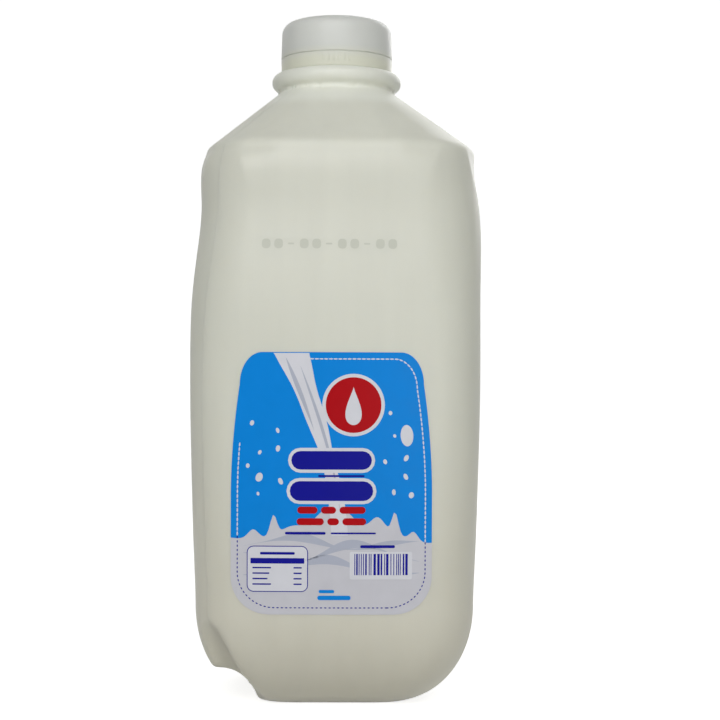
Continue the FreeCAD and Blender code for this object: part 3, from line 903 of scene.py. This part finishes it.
class JUG_OT_print(bpy.types.Operator):
    """Print of the sticker: plain fields, waves, drops, a round mark, bars and fine lines"""

    bl_idname = "jug.print"
    bl_label = "Sticker print"

    def execute(self, context):
        settings = context.scene.label_settings
        chance = random.Random(7)
        colours = {
            name: printed_film(f"sticker_ink_{name}", getattr(settings, name))
            for name in ("blue", "white", "shade", "red", "navy")
        }
        layers = (
            ("blue", "print_blue_field", 1, [label_shape(0.0, wave)]),
            ("shade", "print_wave_shade", 1, self.wave_shades()),
            ("white", "print_ribbon", 2, self.ribbon()),
            ("white", "print_drops", 2, self.drops(chance, settings.drops)),
            ("white", "print_border_white", 2, self.border(True)),
            ("navy", "print_border_navy", 2, self.border(False)),
            ("shade", "print_ribbon_shade", 3, self.ribbon_shade()),
            ("navy", "print_panel_frame", 3, [rounded_bar(*PANEL, 21.2, 16.0, 2.3)]),
            ("white", "print_plates", 4, self.plates()),
            ("red", "print_red", 5, self.red_shapes()),
            ("navy", "print_navy", 5, self.navy_shapes(chance)),
            ("white", "print_mark_drop", 6, [drop(7.5, 72.2, 6.6)]),
            ("blue", "print_blue_small", 7, self.blue_small()),
        )
        for ink, name, level, shapes in layers:
            lift = settings.film + settings.layer * level
            finish_piece(inked(name, shapes, lift), colours[ink], "label_film")
        return {"FINISHED"}

    @staticmethod
    def wave_shades():
        """Three darker folds in the white waves."""
        shapes = []
        for base, swing, phase in ((20.5, 2.6, 0.3), (15.5, 2.0, 1.9), (24.0, 1.6, 3.6)):
            def lower(x, base=base, swing=swing, phase=phase):
                return base + swing * math.sin(x / 8.0 + phase)

            def upper(x, base=base, swing=swing, phase=phase):
                fade = max(1 - (x / 31.0) ** 2, 0)
                return lower(x, base, swing, phase) + 1.5 * fade * (1.2 + math.sin(x / 5.0 + phase))

            shapes.append(band_between(-30.5, 30.5, lower, lambda x: max(upper(x), lower(x) + 0.05)))
        return shapes

    @staticmethod
    def ribbon_line(share):
        """Middle of the pouring milk, from the upper left down to the waves."""
        fall = share**1.25
        return (-14.0 + 17.0 * math.sin(fall * 1.45), 90.4 - 63.0 * fall)

    @classmethod
    def ribbon(cls):
        """Milk poured from the upper left, narrower on its way down."""
        left, right = [], []
        for step in range(61):
            share = step / 60
            x, y = cls.ribbon_line(share)
            half = 6.2 - 3.8 * min(share / 0.62, 1) ** 0.8 + 5.0 * max(share - 0.8, 0) ** 1.2
            half += 0.22 * math.sin(share * 17)
            left.append((x - half, y))
            right.append((x + half, y))
        return [left + right[::-1]]

    @classmethod
    def ribbon_shade(cls):
        """Two grey streaks down the pouring milk."""
        shapes = []
        for offset, width, start, end in ((-2.6, 0.9, 0.05, 0.5), (1.5, 0.7, 0.12, 0.9)):
            left, right = [], []
            for step in range(31):
                share = start + (end - start) * step / 30
                x, y = cls.ribbon_line(share)
                half = width * math.sin(math.pi * step / 30) * (1 - 0.5 * share) + 0.02
                middle = x + offset * (1 - 0.55 * share)
                left.append((middle - half, y))
                right.append((middle + half, y))
            shapes.append(left + right[::-1])
        return shapes

    @staticmethod
    def drops(chance, count):
        """Loose drops on the blue, larger ones near the edges."""
        shapes = [oval(26.0, 62.0, 4.4, 7.4, 4), oval(-25.0, 47.5, 2.4, 3.2, -20)]
        while len(shapes) < count:
            across, up = chance.uniform(-29, 29), chance.uniform(40, 70)
            size = chance.uniform(0.7, 2.0)
            clear = abs(across) < label_half(up) - 5 and abs(across) > 17.5
            if clear and all(math.dist((across, up), shape[0]) > 5.5 for shape in shapes):
                tilt = chance.uniform(-30, 30)
                shapes.append(oval(across, up, size, size * chance.uniform(1.1, 1.7), tilt, 16))
        return shapes

    @staticmethod
    def border(upper):
        """Short dashes that run round just inside the sticker's edge."""
        dash, pitch, thick = (1.5, 1.62, 0.5) if upper else (0.95, 1.5, 0.42)
        line = label_shape(2.3)
        line.append(line[0])
        shapes, run, due = [], 0.0, 0.0
        for (x0, y0), (x1, y1) in zip(line, line[1:]):
            length = math.hypot(x1 - x0, y1 - y0)
            while length > 0 and due <= run + length:
                share = (due - run) / length
                x, y = x0 + (x1 - x0) * share, y0 + (y1 - y0) * share
                tilt = math.degrees(math.atan2(y1 - y0, x1 - x0))
                if (y > wave(x) + 0.5) == upper and (y < 60 or x > -8):
                    shapes.append(oval(x, y, dash, thick, tilt, 8))
                due += pitch
            run += length
        return shapes

    @staticmethod
    def plates():
        """White grounds: rim of the round mark, outlines of the bars, and the panel."""
        return [
            oval(*MARK, 21.6, 21.6, steps=48),
            rounded_bar(*NAME_BAR, 30.0, 8.6, 4.2),
            rounded_bar(*SECOND_BAR, 31.0, 9.0, 4.4),
            rounded_bar(*PANEL, 20.6, 15.4, 2.0),
            rounded_bar(17.2, 17.0, 21.6, 9.6, 0.6),
        ]

    @staticmethod
    def red_shapes():
        """Disc of the round mark and two rows of small bars."""
        shapes = [oval(*MARK, 19.2, 19.2, steps=48)]
        for row, widths in ((36.2, (7.0, 5.2, 9.0)), (32.2, (9.4, 4.0, 8.2))):
            across = -(sum(widths) + 2.4) / 2
            for width in widths:
                shapes.append(rounded_bar(across + width / 2, row, width, 2.4, 1.2))
                across += width + 1.2
        return shapes

    @staticmethod
    def navy_shapes(chance):
        """Bars, a bar code with no numbers, and the panel's fine lines."""
        shapes = [
            rounded_bar(*NAME_BAR, 27.8, 6.4, 3.2),
            rounded_bar(*SECOND_BAR, 28.8, 6.8, 3.4),
            rounded_bar(3.4, 48.0, 16.0, 0.7, 0.3),
            rounded_bar(-9.0, 28.2, 14.0, 0.9, 0.4),
            rounded_bar(7.6, 28.2, 15.6, 0.6, 0.3),
            rounded_bar(16.0, 23.6, 12.0, 1.0, 0.4),
        ]
        across = 8.0
        while across < 26.2:
            width = chance.choice((0.3, 0.3, 0.55, 0.85))
            shapes.append(rounded_bar(across + width / 2, 17.4, width, 7.4, 0.02))
            across += width + chance.choice((0.32, 0.45, 0.7))
        shapes.append(rounded_bar(-18.6, 18.6, 18.6, 1.9, 0.2))
        shapes.append(rounded_bar(-18.6, 21.2, 12.0, 0.9, 0.3))
        for row in range(4):
            up = 16.2 - 1.9 * row
            shapes.append(rounded_bar(-24.0 - 0.3 * (row % 3), up, 6.4 - 0.6 * (row % 3), 0.5, 0.1))
            shapes.append(rounded_bar(-11.6, up, 2.8, 0.5, 0.1))
        return shapes

    @staticmethod
    def blue_small():
        """Small marks at the foot of the sticker."""
        return [rounded_bar(1.0, 5.8, 11.5, 1.5, 0.7), rounded_bar(-1.6, 8.0, 5.4, 1.1, 0.5)]


class JUG_OT_ink_marks(bpy.types.Operator):
    """Faint ink-jet marks above the sticker: pairs of plain blocks with dashes between"""

    bl_idname = "jug.ink_marks"
    bl_label = "Ink-jet marks"

    def execute(self, context):
        base = 128.4
        shapes, across = [], -24.5
        for _ in range(4):
            for _ in range(2):
                shapes.append(rounded_bar(across + 1.5, base, 3.0, 3.4, 1.2))
                across += 4.3
            shapes.append(rounded_bar(across + 1.5, base, 2.2, 0.6, 0.3))
            across += 4.6
        shapes.pop()
        piece = inked("ink_marks", shapes, 0.02 * MM)
        ink = printed_film("faint_grey_ink", linear("#CDCFC2"), 0.5)
        finish_piece(piece, ink, "jug_plastic")
        return {"FINISHED"}


# ---- stage ----------------------------------------------------------------------------------


def pale_floor_material():
    """Matt white board. It looks white to the camera and in reflections, and keeps the shadow."""
    material, tree = new_material("white_board")
    rays = add_node(tree, "ShaderNodeLightPath").outputs
    seen = add_node(
        tree, "ShaderNodeMath", {"operation": "MAXIMUM"}, i0=rays["Is Camera Ray"],
        i1=rays["Is Glossy Ray"],
    ).outputs[0]
    glow = add_node(tree, "ShaderNodeMath", {"operation": "MULTIPLY"}, i0=seen, i1=0.8)
    shader = add_node(
        tree, "ShaderNodeBsdfPrincipled", Base_Color=linear("#D2D2D0"), Roughness=0.9,
        Emission_Color=(1, 1, 1, 1), Emission_Strength=glow.outputs[0],
    )
    close_material(tree, shader)
    return material


def area_light(name, place, target, size, power):
    """A soft rectangular light that faces a point."""
    data = bpy.data.lights.new(name, "AREA")
    data.shape = "RECTANGLE"
    data.size, data.size_y = size
    data.energy = power
    light = new_object(name, data)
    light.location = place
    light.rotation_euler = (Vector(target) - Vector(place)).to_track_quat("-Z", "Y").to_euler()


class JUG_OT_stage(bpy.types.Operator):
    """White floor and backdrop, soft lights and the camera"""

    bl_idname = "jug.stage"
    bl_label = "Stage"

    def execute(self, context):
        scene = context.scene
        settings = scene.stage_settings
        floor = new_object("floor", self.sweep())
        floor.data.materials.append(pale_floor_material())

        world = bpy.data.worlds.new("even_light")
        world.use_nodes = True
        tree = world.node_tree
        tree.nodes.clear()
        rays = add_node(tree, "ShaderNodeLightPath").outputs
        strength = add_node(
            tree, "ShaderNodeMapRange", Value=rays["Is Camera Ray"], To_Min=settings.sky, To_Max=1.0
        ).outputs[0]
        light = add_node(tree, "ShaderNodeBackground", Color=(1, 1, 1, 1), Strength=strength)
        add_node(tree, "ShaderNodeOutputWorld", Surface=light.outputs[0])
        scene.world = world

        middle = (0, 0, 0.6 * CAD_HIGH.z)
        area_light("key", (-0.12, -0.9, 0.76), middle, (1.0, 0.6), settings.key)
        area_light("fill", (0.35, -1.0, 0.08), (0, 0, 0.04), (0.5, 0.12), settings.fill)
        area_light("back", (0.5, 1.0, 0.7), middle, (0.8, 0.8), settings.back)

        data = bpy.data.cameras.new("camera")
        data.lens = settings.lens
        data.sensor_width = 36.0
        camera = new_object("camera", data)
        camera.location = (0, -settings.distance, settings.height)
        look_right, look_up, roll = math.radians(0.85), math.radians(0.69), math.radians(0.23)
        turn = Matrix.Rotation(-look_right, 4, "Z") @ Matrix.Rotation(math.pi / 2 + look_up, 4, "X")
        camera.rotation_euler = (turn @ Matrix.Rotation(roll, 4, "Z")).to_euler()
        scene.camera = camera
        scene.view_settings.view_transform = "Standard"
        return {"FINISHED"}

    @staticmethod
    def sweep():
        """Floor that curves up into a backdrop behind the jug."""
        half, front, back, bend, tall = 2.5, -2.0, 1.2, 0.5, 2.0
        line = [(front, 0.0), (back, 0.0)]
        for step in range(1, 13):
            angle = math.pi / 2 * step / 12
            line.append((back + bend * math.sin(angle), bend * (1 - math.cos(angle))))
        line.append((back + bend, tall))
        vertices = [(side * half, y, z) for y, z in line for side in (-1, 1)]
        faces = [(2 * k, 2 * k + 1, 2 * k + 3, 2 * k + 2) for k in range(len(line) - 1)]
        mesh = mesh_from("floor", vertices, faces)
        shade_smooth(mesh)
        return mesh


# ---- panel and registration -----------------------------------------------------------------


OPERATORS = (
    JUG_OT_body,
    JUG_OT_seam,
    JUG_OT_milk,
    JUG_OT_cap,
    JUG_OT_label,
    JUG_OT_print,
    JUG_OT_ink_marks,
    JUG_OT_stage,
)
SETTINGS = {
    "jug_settings": JugSettings,
    "cap_settings": CapSettings,
    "label_settings": LabelSettings,
    "stage_settings": StageSettings,
}


class JUG_PT_panel(bpy.types.Panel):
    """Sizes and colours, and a button for each group of pieces"""

    bl_label = "Milk Jug"
    bl_idname = "JUG_PT_panel"
    bl_space_type = "VIEW_3D"
    bl_region_type = "UI"
    bl_category = "Jug"

    def draw(self, context):
        for name, group in SETTINGS.items():
            box = self.layout.box()
            settings = getattr(context.scene, name)
            for key in group.__annotations__:
                box.prop(settings, key)
        for operator in OPERATORS:
            self.layout.operator(operator.bl_idname)


def register():
    for group in SETTINGS.values():
        bpy.utils.register_class(group)
    for operator in OPERATORS:
        bpy.utils.register_class(operator)
    bpy.utils.register_class(JUG_PT_panel)
    for name, group in SETTINGS.items():
        setattr(bpy.types.Scene, name, PointerProperty(type=group))


def unregister():
    for name in SETTINGS:
        delattr(bpy.types.Scene, name)
    bpy.utils.unregister_class(JUG_PT_panel)
    for group in reversed(OPERATORS + tuple(SETTINGS.values())):
        bpy.utils.unregister_class(group)


def main():
    register()
    for operator in OPERATORS:
        family, name = operator.bl_idname.split(".")
        getattr(getattr(bpy.ops, family), name)()


if __name__ == "__main__":
    main()
